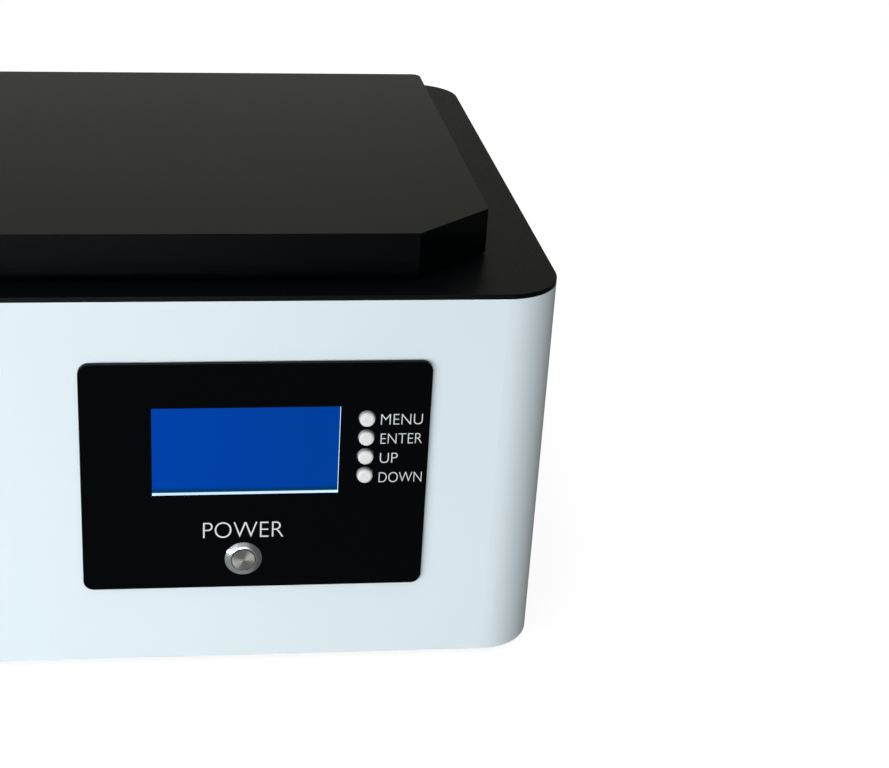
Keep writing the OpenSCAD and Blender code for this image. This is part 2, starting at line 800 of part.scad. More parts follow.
module rail_blocks() {
    color(steel) placed() for (s = [-1, 1])
        translate([s * rail_x, carriage_y + carriage_t, carriage_z + 4]) difference() {
            translate([-10, 0, 0]) cube([20, column_y - carriage_y - carriage_t - 2.2, carriage_h - 8]);
            translate([-rail_w / 2 - 0.1, column_y - rail_h - carriage_y - carriage_t - 0.1, -1])
                cube([rail_w + 0.2, 12, carriage_h]);
        }
}

module lead_nut() {
    color(brass) placed() translate([0, lift_y, nut_z]) difference() {
        union() {
            translate([0, 0, -3.5]) cylinder(r = 9, h = 3.5);
            cylinder(r = nut_r, h = boss_h);
        }
        translate([0, 0, -5]) cylinder(r = screw_r + run_gap, h = boss_h + 8);
    }
}

module platform_arm() {
    reach = carriage_y - vat_y;
    color(aluminium) placed() difference() {
        union() {
            translate([-arm_w / 2, vat_y - 20, arm_z]) cube([arm_w, reach + 20, arm_t]);
            for (s = [-1, 1]) translate([s * (arm_w / 2 - 3) - 3, carriage_y - 16, arm_z - 16])
                cube([6, 16, 16 + eps]);
        }
        translate([0, vat_y, arm_z - 1]) cylinder(r = 4.2, h = arm_t + 2);
        for (y = [30, 52]) translate([0, vat_y + y, arm_z - 1]) cylinder(r = 7, h = arm_t + 2);
    }
}

module build_platform() {
    color(aluminium) placed() translate([0, vat_y, platform_z]) {
        block(platform_w, platform_d, 6);
        translate([0, 0, 6 - eps]) block(platform_w - 12, platform_d - 12, platform_t - 6 + eps);
        translate([0, 0, platform_t - eps]) block(34, 34, post_h + eps);
        cylinder(r = 3.9, h = platform_t + post_h + arm_t + 4);
    }
}

module platform_knob() {
    color(black_paint) placed() translate([0, vat_y, arm_z + arm_t + 0.3]) difference() {
        cylinder(r = 14, h = knob_h);
        for (k = [0 : 7]) rotate([0, 0, k * 45]) translate([16, 0, -1]) cylinder(r = 4, h = knob_h + 2);
        translate([0, 0, -1]) cylinder(r = 3.9 + run_gap, h = 6);
    }
}

// ---------- electronics ----------

// Board on four posts on the left wall
module main_board() {
    wall_x = -body_w / 2 + sheet_t;
    color(board_green) placed() translate([wall_x, 62, 22]) {
        for (y = [4, 86], z = [4, 76]) translate([0, y, z]) rotate([0, 90, 0]) cylinder(r = 3, h = 6 + eps);
        translate([6, 0, 0]) cube([1.6, 90, 80]);
        translate([7.6 - eps, 34, 30]) cube([2, 18, 18]);
        translate([7.6 - eps, 60, 20]) cube([2, 12, 12]);
        for (i = [0 : 3]) translate([7.6 - eps, 8 + i * 14, 66]) cube([9, 11, 8]);
        for (i = [0 : 2]) translate([7.6 - eps, 80, 16 + i * 16]) rotate([0, 90, 0]) cylinder(r = 4, h = 10);
    }
}

// Switching supply standing on its long side beside the light engine
module power_supply() {
    color(steel) placed() translate([120, 50, base_top]) difference() {
        cube([30, 128, 98]);
        for (i = [0 : 9]) translate([-1, 12 + i * 11, 22]) cube([5, 4, 60]);
        translate([12, -1, 8]) cube([20, 12, 82]);
    }
}

// Square axial fan, its frame from z = 0 to z = t, with three struts and a hub post
module fan_frame(s, t, bore_r, hub_r) {
    difference() {
        block(s, s, t);
        translate([0, 0, -1]) cylinder(r = bore_r, h = t + 2);
        for (x = [-1, 1], y = [-1, 1])
            translate([x * (s / 2 - 4.3), y * (s / 2 - 4.3), -1]) cylinder(r = 2.2, h = t + 2);
    }
    for (a = [0 : 120 : 240])
        rotate([0, 0, a]) translate([hub_r - 5, -2, 0]) cube([bore_r - hub_r + 6, 4, 2]);
    cylinder(r = hub_r, h = 2);
    cylinder(r = fan_post_r, h = rotor_lift + t - 6.2);
}

// Hub with blades that turns on the frame's post
module fan_wheel(t, wheel_r, hub_r) {
    difference() {
        union() {
            cylinder(r = hub_r, h = t - 4);
            for (k = [0 : blade_count - 1])
                rotate([0, 0, k * 360 / blade_count]) translate([hub_r - 1, 0, (t - 4) / 2])
                    rotate([38, 0, 0]) translate([0, -7, -0.8]) cube([wheel_r - hub_r + 1, 14, 1.6]);
        }
        translate([0, 0, -1]) cylinder(r = fan_post_r + run_gap, h = t - 5);
    }
}

// Fan that draws air through the heat sink, on four posts above the base plate's slots
module fan_housing() {
    color(black_paint) placed() translate([0, vat_y, fan_z]) {
        fan_frame(fan_s, fan_t, fan_bore_r, rotor_hub_r);
        for (x = [-1, 1], y = [-1, 1]) translate([x * 34, y * 34, base_top - fan_z])
            cylinder(r = 3.4, h = fan_z - base_top + eps);
    }
}

module fan_rotor() {
    color(black_paint) placed() translate([0, vat_y, fan_z + rotor_lift])
        fan_wheel(fan_t, rotor_r, rotor_hub_r);
}

// Moves a fan so that its struts meet the rear panel's inner face
module at_exhaust(gap) {
    placed() translate([exhaust_x, body_d - gap, exhaust_z]) rotate([90, 0, 0]) children();
}

module exhaust_fan_housing() {
    color(black_paint) at_exhaust(0) fan_frame(exhaust_s, exhaust_t, exhaust_r, 12);
}

module exhaust_fan_rotor() {
    color(black_paint) at_exhaust(rotor_lift) fan_wheel(exhaust_t, exhaust_r - 1.5, 12);
}

// Mains inlet: a socket with three blades under the rocker's frame
module power_inlet() {
    socket_mid = -inlet_h / 2 + 5 + socket_h / 2;
    color(black_paint) placed() translate([inlet_x, body_d + rear_t, inlet_z]) {
        difference() {
            union() {
                translate([-inlet_w / 2, 0, -inlet_h / 2]) cube([inlet_w, 2.5, inlet_h]);
                translate([-inlet_w / 2 + 2, -24, -inlet_h / 2 + 2])
                    cube([inlet_w - 4, 24 + eps, inlet_h - 4]);
            }
            translate([-socket_w / 2 + 1, 2.5 - socket_depth, socket_mid - socket_h / 2])
                cube([socket_w - 2, socket_depth + 1, socket_h]);
            translate([-rocker_w / 2 - 0.4, -8, rocker_dz - rocker_h / 2 - 0.4])
                cube([rocker_w + 0.8, 12, rocker_h + 0.8]);
            translate([0, rocker_axis - rear_t, rocker_dz]) bar_x(rocker_pin_r + run_gap, rocker_w + 3);
        }
        for (p = [[-7, -3], [7, -3], [0, 3]])
            translate([p[0] - 1, 2.4 - socket_depth, socket_mid + p[1] - 2])
                cube([2, socket_depth - pin_recess, 4]);
    }
}

// Rocker with two sloping faces and a small pin at each end, tilted to its first position
module rocker_switch() {
    color([0.25, 0.02, 0.02]) placed() translate([inlet_x, body_d + rocker_axis, inlet_z + rocker_dz])
        rotate([rocker_tilt, 0, 0]) {
            rotate([0, 90, 0]) translate([0, 0, -rocker_w / 2]) linear_extrude(rocker_w) polygon([
                [-5.9, 2.6], [-5.9, 3.9], [0, 3.1], [5.9, 3.9], [5.9, 2.6], [3, -4], [-3, -4]
            ]);
            bar_x(rocker_pin_r, rocker_w + 2.4);
        }
}

// ---------- nodes ----------

body_shell();
base_plate();
rear_panel();
top_deck();
rubber_feet();
control_panel();
display_board();
display_bezel();
display_glass();
switch_board();
power_button_housing();
power_button_nut();
usb_port();
chamber_liner();
vat_plate();
plate_standoffs();
uv_mask_panel();
light_shroud();
led_board();
led_lenses();
heat_sink();
fan_housing();
exhaust_fan_housing();
fan_guard();
vat_frame();
film_clamp();
release_film();
z_column();
linear_rails();
z_motor();
top_bearing();
limit_switch();
main_board();
power_supply();
power_inlet();
hinge_base_leaves();
hinge_pins();
case_screws();
lid_shell();
lid_bumpers();
hinge_lid_leaves();
lid_screws();
carriage_plate();
rail_blocks();
lead_nut();
platform_arm();
build_platform();
platform_knob();
lead_screw();
shaft_coupler();
fan_rotor();
exhaust_fan_rotor();
menu_key(0);  // menu_button
menu_key(1);  // enter_button
menu_key(2);  // up_button
menu_key(3);  // down_button
power_button();
rocker_switch();
vat_knob(-1);  // vat_knob_left
vat_knob(1);  // vat_knob_right
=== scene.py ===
import json
import math

import bmesh
import bpy
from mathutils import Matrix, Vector


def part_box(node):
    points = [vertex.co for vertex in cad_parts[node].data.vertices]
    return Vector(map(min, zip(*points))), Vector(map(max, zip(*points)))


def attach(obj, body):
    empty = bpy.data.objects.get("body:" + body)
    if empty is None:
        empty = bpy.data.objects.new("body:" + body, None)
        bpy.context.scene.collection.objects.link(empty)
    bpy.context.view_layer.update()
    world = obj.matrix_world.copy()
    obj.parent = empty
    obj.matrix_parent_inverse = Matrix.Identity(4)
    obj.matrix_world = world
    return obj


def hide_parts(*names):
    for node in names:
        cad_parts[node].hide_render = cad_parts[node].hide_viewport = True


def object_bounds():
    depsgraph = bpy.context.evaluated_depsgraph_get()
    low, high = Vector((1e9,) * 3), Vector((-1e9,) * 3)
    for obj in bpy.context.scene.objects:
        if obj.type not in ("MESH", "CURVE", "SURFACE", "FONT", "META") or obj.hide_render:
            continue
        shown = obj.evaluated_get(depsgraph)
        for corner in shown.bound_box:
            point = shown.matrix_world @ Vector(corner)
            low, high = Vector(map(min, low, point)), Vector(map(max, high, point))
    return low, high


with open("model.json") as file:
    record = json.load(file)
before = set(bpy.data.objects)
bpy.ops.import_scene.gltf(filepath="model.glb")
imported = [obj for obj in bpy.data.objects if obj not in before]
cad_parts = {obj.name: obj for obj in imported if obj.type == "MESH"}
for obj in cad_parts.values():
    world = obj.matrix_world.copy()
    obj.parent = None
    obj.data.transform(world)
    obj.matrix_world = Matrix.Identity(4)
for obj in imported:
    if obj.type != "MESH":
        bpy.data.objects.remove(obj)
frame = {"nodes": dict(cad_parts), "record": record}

MM = 0.001
cad_low, cad_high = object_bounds()
nodes = frame["nodes"]
scene = bpy.context.scene


# ---------- camera, stage and light ----------

CAMERA_PLACE = (5.18 * MM, -740.96 * MM, 407.67 * MM)   # its height is above the body's bottom edge
CAMERA_TURN = (64.596, -1.987, -5.747)   # degrees about X, Y and Z
LENS_MM = 71.52
SENSOR_MM = 36.0
FRAME_SHIFT = 0.12   # the photograph is the right part of a wider picture; its own shift is nearer 0.35


def make_camera():
    camera = bpy.data.cameras.new("camera")
    camera.lens = LENS_MM
    camera.sensor_width = SENSOR_MM
    camera.shift_x = FRAME_SHIFT
    camera.clip_start = 0.01
    camera.clip_end = 50
    holder = bpy.data.objects.new("camera", camera)
    scene.collection.objects.link(holder)
    holder.location = CAMERA_PLACE
    holder.location.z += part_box("body_shell")[0].z
    holder.rotation_euler = [math.radians(a) for a in CAMERA_TURN]
    scene.camera = holder


def area_light(name, place, aim, width, height, watts, colour=(1, 1, 1)):
    """A rectangular soft light at place that faces aim."""
    data = bpy.data.lights.new(name, "AREA")
    data.shape = "RECTANGLE"
    data.size = width
    data.size_y = height
    data.energy = watts
    data.color = colour
    holder = bpy.data.objects.new(name, data)
    scene.collection.objects.link(holder)
    holder.location = place
    direction = Vector(aim) - Vector(place)
    holder.rotation_euler = direction.to_track_quat("-Z", "Y").to_euler()
    return holder


def make_world():
    """A white backdrop behind the part, and dimmer light from the front, the right and below."""
    world = bpy.data.worlds.new("studio")
    scene.world = world
    world.use_nodes = True
    tree = world.node_tree
    tree.nodes.clear()
    coords = tree.nodes.new("ShaderNodeTexCoord")
    split = tree.nodes.new("ShaderNodeSeparateXYZ")
    light = tree.nodes.new("ShaderNodeBackground")
    out = tree.nodes.new("ShaderNodeOutputWorld")
    tree.links.new(coords.outputs["Generated"], split.inputs[0])

    def fade(axis, start, end):
        made = tree.nodes.new("ShaderNodeMapRange")
        made.interpolation_type = "SMOOTHSTEP"
        made.inputs["From Min"].default_value = start
        made.inputs["From Max"].default_value = end
        tree.links.new(split.outputs[axis], made.inputs["Value"])
        return made.outputs[0]

    def blend(factor, low, high):
        made = tree.nodes.new("ShaderNodeMix")
        made.data_type = "RGBA"
        tree.links.new(factor, made.inputs[0])
        for socket, colour in ((made.inputs[6], low), (made.inputs[7], high)):
            if isinstance(colour, tuple):
                socket.default_value = (*colour, 1)
            else:
                tree.links.new(colour, socket)
        return made.outputs[2]

    front = blend(fade("Z", -0.15, 0.35), (0.34, 0.35, 0.36), (0.44, 0.45, 0.46))
    backdrop = blend(fade("Y", 0.15, 0.55), front, (0.46, 0.47, 0.40))
    sides = blend(fade("X", 0.05, 0.55), backdrop, (0.14, 0.135, 0.12))
    tree.links.new(sides, light.inputs["Color"])
    light.inputs["Strength"].default_value = 0.96
    tree.links.new(light.outputs[0], out.inputs[0])


def make_stage():
    """A pale glowing floor that the part rests on; reflections and bounced light don't see it."""
    floor_mesh = bpy.data.meshes.new("floor")
    reach = 40.0
    gap = 0.0001
    corners = [(-reach, -reach, 0), (reach, -reach, 0), (reach, reach, 0), (-reach, reach, 0)]
    floor_mesh.from_pydata(corners, [], [(0, 1, 2, 3)])
    floor = bpy.data.objects.new("floor", floor_mesh)
    scene.collection.objects.link(floor)
    floor.location.z = cad_low.z - gap
    paint = Paint("floor_paper", (0.30, 0.30, 0.30), roughness=0.9, specular=0.0)
    paint.glow((1, 1, 1), 0.86)
    floor.data.materials.append(paint.material)
    floor.visible_glossy = False
    floor.visible_diffuse = False


# ---------- materials ----------

class Paint:
    """A node material around one principled shader, built up by small steps."""

    def __init__(self, name, colour, roughness=0.5, metallic=0.0, specular=0.5):
        self.material = bpy.data.materials.new(name)
        self.material.use_nodes = True
        self.tree = self.material.node_tree
        self.tree.nodes.clear()
        self.shader = self.tree.nodes.new("ShaderNodeBsdfPrincipled")
        out = self.tree.nodes.new("ShaderNodeOutputMaterial")
        self.tree.links.new(self.shader.outputs[0], out.inputs["Surface"])
        self.shader.inputs["Base Color"].default_value = (*colour, 1)
        self.shader.inputs["Roughness"].default_value = roughness
        self.shader.inputs["Metallic"].default_value = metallic
        self.shader.inputs["Specular IOR Level"].default_value = specular
        self.normal = None

    def node(self, kind, **values):
        made = self.tree.nodes.new(kind)
        for key, value in values.items():
            made.inputs[key.replace("_", " ")].default_value = value
        return made

    def link(self, a, b):
        self.tree.links.new(a, b)

    def place(self, stretch=(1, 1, 1)):
        """Object coordinates, stretched along the axes."""
        coords = self.tree.nodes.new("ShaderNodeTexCoord")
        mapping = self.tree.nodes.new("ShaderNodeMapping")
        mapping.inputs["Scale"].default_value = stretch
        self.link(coords.outputs["Object"], mapping.inputs["Vector"])
        return mapping.outputs[0]

    def noise(self, size, detail=3.0, roughness=0.55, stretch=(1, 1, 1)):
        """Noise whose features are about size metres wide, from 0 to 1."""
        made = self.node("ShaderNodeTexNoise", Scale=1 / size, Detail=detail, Roughness=roughness)
        self.link(self.place(stretch), made.inputs["Vector"])
        return made.outputs["Fac"]

    def spread(self, value, low, high, start=0.3, end=0.7):
        """Maps a value between start and end to low and high."""
        made = self.tree.nodes.new("ShaderNodeMapRange")
        made.inputs["From Min"].default_value = start
        made.inputs["From Max"].default_value = end
        made.inputs["To Min"].default_value = low
        made.inputs["To Max"].default_value = high
        self.link(value, made.inputs["Value"])
        return made.outputs[0]

    def tint(self, value, low, high):
        """Colour that goes from low to high as value goes from 0 to 1."""
        made = self.tree.nodes.new("ShaderNodeMix")
        made.data_type = "RGBA"
        made.inputs[6].default_value = (*low, 1)
        made.inputs[7].default_value = (*high, 1)
        self.link(value, made.inputs[0])
        self.link(made.outputs[2], self.shader.inputs["Base Color"])

    def vary_roughness(self, value, low, high):
        self.link(self.spread(value, low, high), self.shader.inputs["Roughness"])

    def bump(self, value, height, strength=1.0):
        """Raises the surface by value times height metres, on top of earlier bumps."""
        made = self.node("ShaderNodeBump", Strength=strength, Distance=height)
        self.link(value, made.inputs["Height"])
        if self.normal is not None:
            self.link(self.normal, made.inputs["Normal"])
        self.normal = made.outputs[0]
        self.link(self.normal, self.shader.inputs["Normal"])

    def glow(self, colour, strength):
        self.shader.inputs["Emission Color"].default_value = (*colour, 1)
        self.shader.inputs["Emission Strength"].default_value = strength

    def glow_between(self, value, low, high, strength):
        """Glow whose colour goes from low to high as value goes from 0 to 1."""
        made = self.tree.nodes.new("ShaderNodeMix")
        made.data_type = "RGBA"
        made.inputs[6].default_value = (*low, 1)
        made.inputs[7].default_value = (*high, 1)
        self.link(value, made.inputs[0])
        self.link(made.outputs[2], self.shader.inputs["Emission Color"])
        self.shader.inputs["Emission Strength"].default_value = strength


def white_powder_coat():
    paint = Paint("white_powder_coat", (0.70, 0.80, 0.85), roughness=0.55, specular=0.02)
    broad = paint.noise(0.09, detail=2)
    paint.tint(broad, (0.685, 0.785, 0.838), (0.715, 0.812, 0.858))
    grain = paint.noise(0.0011, detail=3)
    paint.vary_roughness(grain, 0.50, 0.64)
    paint.bump(grain, 0.00006, 0.55)
    return paint.material


def black_powder_coat():
    paint = Paint("black_powder_coat", (0.001, 0.002, 0.003), roughness=0.4, specular=0.06)
    grain = paint.noise(0.0009, detail=4)
    paint.tint(grain, (0.0003, 0.0008, 0.0012), (0.0009, 0.0015, 0.0020))
    paint.vary_roughness(grain, 0.16, 0.26)
    paint.bump(grain, 0.00008, 0.5)
    return paint.material


def deck_coat():
    paint = Paint("deck_coat", (0.001, 0.002, 0.003), roughness=0.42, specular=0.075)
    grain = paint.noise(0.0008, detail=4)
    paint.tint(grain, (0.0006, 0.0016, 0.0024), (0.0014, 0.0026, 0.0034))
    paint.vary_roughness(grain, 0.34, 0.48)
    paint.bump(grain, 0.00006, 0.5)
    return paint.material


def gloss_acrylic():
    paint = Paint("gloss_black_acrylic", (0.0010, 0.0016, 0.0022), roughness=0.06, specular=0.035)
    smear = paint.noise(0.030, detail=3)
    paint.vary_roughness(smear, 0.04, 0.10)
    paint.bump(paint.noise(0.045, detail=1), 0.00003, 0.25)
    return paint.material


def display_face():
    """Backlit glass: an even blue, a little brighter to the left."""
    paint = Paint("display_face", (0.0, 0.004, 0.02), roughness=0.12, specular=0.02)
    low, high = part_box("display_glass")
    coords = paint.tree.nodes.new("ShaderNodeTexCoord")
    split = paint.tree.nodes.new("ShaderNodeSeparateXYZ")
    paint.link(coords.outputs["Object"], split.inputs[0])
    across = paint.spread(split.outputs["X"], 0.0, 1.0, low.x, high.x)
    cloud = paint.noise(0.022, detail=2)
    blend = paint.tree.nodes.new("ShaderNodeMath")
    blend.operation = "MULTIPLY_ADD"
    blend.inputs[1].default_value = 0.35
    paint.link(cloud, blend.inputs[0])
    paint.link(across, blend.inputs[2])
    paint.glow_between(blend.outputs[0], (0.0, 0.053, 0.400), (0.0, 0.047, 0.325), 0.98)
    return paint.material


def painted_edge_glow():
    """Clear cut edge of the window: a painted glow standing for the display's light shining on it from
    behind.
    """
    paint = Paint("painted_edge_glow", (0.55, 0.75, 0.95), roughness=0.25, specular=0.4)
    streak = paint.noise(0.004, detail=3, stretch=(1, 12, 1))
    paint.glow_between(streak, (0.55, 0.78, 1.0), (0.72, 0.90, 1.0), 0.75)
    return paint.material


def painted_dim_glow():
    """Clear plastic in the shadow of the window: a painted dim blue glow standing for the display's light
    reflected in that shade.
    """
    paint = Paint("painted_dim_glow", (0.0, 0.02, 0.05), roughness=0.3, specular=0.1)
    streak = paint.noise(0.006, detail=2, stretch=(1, 10, 1))
    paint.glow_between(streak, (0.001, 0.030, 0.085), (0.002, 0.042, 0.130), 1.0)
    return paint.material


def label_ink():
    paint = Paint("label_ink", (0.66, 0.70, 0.72), roughness=0.5, specular=0.2)
    speck = paint.noise(0.0004, detail=2)
    paint.tint(speck, (0.60, 0.64, 0.66), (0.72, 0.76, 0.78))
    return paint.material


def moulded(name, colour, roughness, grain_size=0.0006, height=0.00002, specular=0.45):
    """Moulded or painted surface with a fine grain."""
    paint = Paint(name, colour, roughness=roughness, specular=specular)
    grain = paint.noise(grain_size, detail=3)
    darker = tuple(c * 0.90 for c in colour)
    lighter = tuple(min(1.0, c * 1.08) for c in colour)
    paint.tint(grain, darker, lighter)
    paint.vary_roughness(grain, roughness * 0.85, roughness * 1.15)
    paint.bump(grain, height, 0.5)
    return paint.material


def brushed(name, colour, roughness, stretch, size=0.0012, height=0.000008):
    """Metal with fine parallel scratches: stretch is small along the brushing."""
    paint = Paint(name, colour, roughness=roughness, metallic=1.0)
    scratch = paint.noise(size, detail=5, roughness=0.7, stretch=stretch)
    blot = paint.noise(0.02, detail=2)
    darker = tuple(c * 0.86 for c in colour)
    lighter = tuple(min(1.0, c * 1.06) for c in colour)
    paint.tint(scratch, darker, lighter)
    paint.vary_roughness(blot, roughness * 0.85, roughness * 1.2)
    paint.bump(scratch, height, 0.6)
    return paint.material


def turned(name, colour, roughness, centre, rings, relief=0.6):
    """Metal turned on a lathe about an axis along Y through centre: rings or rays about it."""
    paint = Paint(name, colour, roughness=roughness, metallic=1.0)
    coords = paint.tree.nodes.new("ShaderNodeTexCoord")
    mapping = paint.tree.nodes.new("ShaderNodeMapping")
    mapping.inputs["Location"].default_value = (-centre.x, 0, -centre.z)
    paint.link(coords.outputs["Object"], mapping.inputs["Vector"])
    split = paint.tree.nodes.new("ShaderNodeSeparateXYZ")
    paint.link(mapping.outputs[0], split.inputs[0])
    if rings:
        length = paint.tree.nodes.new("ShaderNodeVectorMath")
        length.operation = "LENGTH"
        flat = paint.tree.nodes.new("ShaderNodeCombineXYZ")
        paint.link(split.outputs["X"], flat.inputs["X"])
        paint.link(split.outputs["Z"], flat.inputs["Y"])
        paint.link(flat.outputs[0], length.inputs[0])
        place = length.outputs["Value"]
        scale = 9000
    else:
        angle = paint.tree.nodes.new("ShaderNodeMath")
        angle.operation = "ARCTAN2"
        paint.link(split.outputs["Z"], angle.inputs[0])
        paint.link(split.outputs["X"], angle.inputs[1])
        place = angle.outputs[0]
        scale = 40
    lines = paint.node("ShaderNodeTexNoise", Scale=scale, Detail=4)
    lines.noise_dimensions = "1D"
    paint.link(place, lines.inputs["W"])
    darker = tuple(c * 0.80 for c in colour)
    lighter = tuple(min(1.0, c * 1.10) for c in colour)
    paint.tint(lines.outputs["Fac"], darker, lighter)
    paint.vary_roughness(lines.outputs["Fac"], roughness * 0.8, roughness * 1.3)
    paint.bump(lines.outputs["Fac"], 0.000006, relief)
    if not rings:
        around = paint.tree.nodes.new("ShaderNodeTangent")
        around.direction_type = "RADIAL"
        around.axis = "Y"
        paint.link(around.outputs[0], paint.shader.inputs["Tangent"])
        paint.shader.inputs["Anisotropic"].default_value = 0.85
    return paint.material


def circuit_board(name, colour):
    """Solder mask with faint tracks under it."""
    paint = Paint(name, colour, roughness=0.35, specular=0.5)
    tracks = paint.tree.nodes.new("ShaderNodeTexBrick")
    tracks.inputs["Scale"].default_value = 180
    tracks.inputs["Mortar Size"].default_value = 0.03
    tracks.inputs["Color1"].default_value = (*colour, 1)
    tracks.inputs["Color2"].default_value = (*[c * 0.8 for c in colour], 1)
    tracks.inputs["Mortar"].default_value = (*[min(1, c * 1.6) for c in colour], 1)
    paint.link(paint.place(), tracks.inputs["Vector"])
    paint.link(tracks.outputs["Color"], paint.shader.inputs["Base Color"])
    paint.bump(tracks.outputs["Fac"], 0.00002, 0.4)
    return paint.material


def clear_plastic(name, colour, roughness):
    paint = Paint(name, colour, roughness=roughness, specular=0.5)
    paint.shader.inputs["Transmission Weight"].default_value = 0.9
    paint.shader.inputs["IOR"].default_value = 1.45
    haze = paint.noise(0.012, detail=2)
    paint.vary_roughness(haze, roughness * 0.8, roughness * 1.3)
    return paint.material


def exposure_screen():
    paint = Paint("exposure_screen", (0.010, 0.012, 0.022), roughness=0.08, specular=0.6)
    smear = paint.noise(0.02, detail=3)
    paint.vary_roughness(smear, 0.05, 0.14)
    return paint.material


def middle(node):
    """The middle of a node's box."""
    return sum(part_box(node), Vector()) / 2


def make_materials():
    """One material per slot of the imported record, by the slot's name."""
    return {
        "white_paint": white_powder_coat(),
        "black_paint": black_powder_coat(),
        "gloss_black": gloss_acrylic(),
        "display_blue": display_face(),
        "button_white": moulded("button_white", (0.74, 0.75, 0.74), 0.35, height=0.00001, specular=0.3),
        "stainless": turned(
            "stainless_rim", (0.62, 0.66, 0.71), 0.20, middle("power_button"), rings=True, relief=0.06),
        "plated_steel": brushed("plated_steel", (0.60, 0.61, 0.62), 0.32, (1, 1, 8)),
        "black_screws": moulded("black_oxide", (0.03, 0.03, 0.03), 0.4, specular=0.6),
        "ground_steel": brushed("ground_steel", (0.56, 0.57, 0.58), 0.25, (12, 12, 0.4)),
        "anodised": brushed("anodised", (0.72, 0.73, 0.74), 0.38, (1, 6, 6), height=0.000012),
        "platform_metal": brushed("platform_metal", (0.64, 0.65, 0.66), 0.45, (0.5, 8, 8)),
        "vat_black": moulded("black_anodised", (0.02, 0.02, 0.022), 0.42, specular=0.6),
        "brass_nut": brushed("brass", (0.72, 0.53, 0.24), 0.28, (8, 8, 1)),
        "black_plastic": moulded("black_plastic", (0.022, 0.022, 0.024), 0.5),
        "rocker_plastic": moulded("rocker_plastic", (0.02, 0.02, 0.02), 0.25),
        "black_steel": moulded("black_steel", (0.022, 0.022, 0.022), 0.4, specular=0.6),
        "green_board": circuit_board("green_board", (0.012, 0.11, 0.045)),
        "blue_board": circuit_board("blue_board", (0.012, 0.05, 0.18)),
        "white_board": circuit_board("white_board", (0.78, 0.78, 0.76)),
        "clear_lens": clear_plastic("clear_lens", (0.9, 0.94, 1.0), 0.08),
        "mask_glass": exposure_screen(),
        "clear_film": clear_plastic("clear_film", (0.92, 0.94, 0.96), 0.12),
        "rubber": moulded("rubber", (0.02, 0.02, 0.02), 0.75, grain_size=0.0012, height=0.00004),
    }


# ---------- CAD nodes: edges and materials ----------

ROUND_EDGES = {
    # node: bevel width in millimetres
    "top_deck": 0.35, "lid_shell": 0.9, "control_panel": 0.15,
    "rear_panel": 0.3, "rubber_feet": 0.4, "vat_frame": 0.6, "build_platform": 0.5,
    "platform_arm": 0.5, "platform_knob": 0.8, "carriage_plate": 0.4, "z_column": 0.4,
    "vat_knob_left": 0.4, "vat_knob_right": 0.4, "power_inlet": 0.4, "rocker_switch": 0.4,
    "hinge_base_leaves": 0.3, "hinge_lid_leaves": 0.3, "case_screws": 0.4, "lid_screws": 0.35,
    "fan_guard": 0.3, "vat_plate": 0.4, "power_button_housing": 0.12, "power_button": 0.3,
    "rail_blocks": 0.5, "chamber_liner": 0.3, "power_supply": 0.5, "z_motor": 0.5,
    "heat_sink": 0.2, "base_plate": 0.3, "fan_housing": 0.5, "exhaust_fan_housing": 0.5,
}


def smooth_shade(mesh):
    mesh.polygons.foreach_set("use_smooth", [True] * len(mesh.polygons))


def finish_edges(node, radius_mm):
    """Joins the tessellated faces, rounds the sharp edges and evens out the shading."""
    smooth_shade(node.data)
    weld = node.modifiers.new("weld", "WELD")
    weld.merge_threshold = 0.01 * MM
    bevel = node.modifiers.new("bevel", "BEVEL")
    bevel.width = radius_mm * MM
    bevel.segments = 3
    bevel.limit_method = "ANGLE"
    bevel.angle_limit = math.radians(35)
    bevel.use_clamp_overlap = True
    bevel.harden_normals = False
    bevel.miter_outer = "MITER_ARC"
    smooth = node.modifiers.new("even_normals", "WEIGHTED_NORMAL")
    smooth.weight = 100
    smooth.keep_sharp = True


def dress_nodes(materials):
    for row in frame["record"]["subparts"]:
        node = nodes[row["node"]]
        material = materials[row["material_slot"]]
        node.data.materials.clear()
        node.data.materials.append(material)
        if row["node"] in ROUND_EDGES:
            finish_edges(node, ROUND_EDGES[row["node"]])
    rays = turned(
        "stainless_cap", (0.40, 0.395, 0.365), 0.30, middle("power_button"), rings=False, relief=0.3)
    nodes["power_button"].data.materials[0] = rays
    nodes["top_deck"].data.materials[0] = deck_coat()


# ---------- added pieces ----------

def new_piece(name, mesh, material, body):
    piece = bpy.data.objects.new(name, mesh)
    scene.collection.objects.link(piece)
    mesh.materials.append(material)
    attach(piece, body)
    return piece


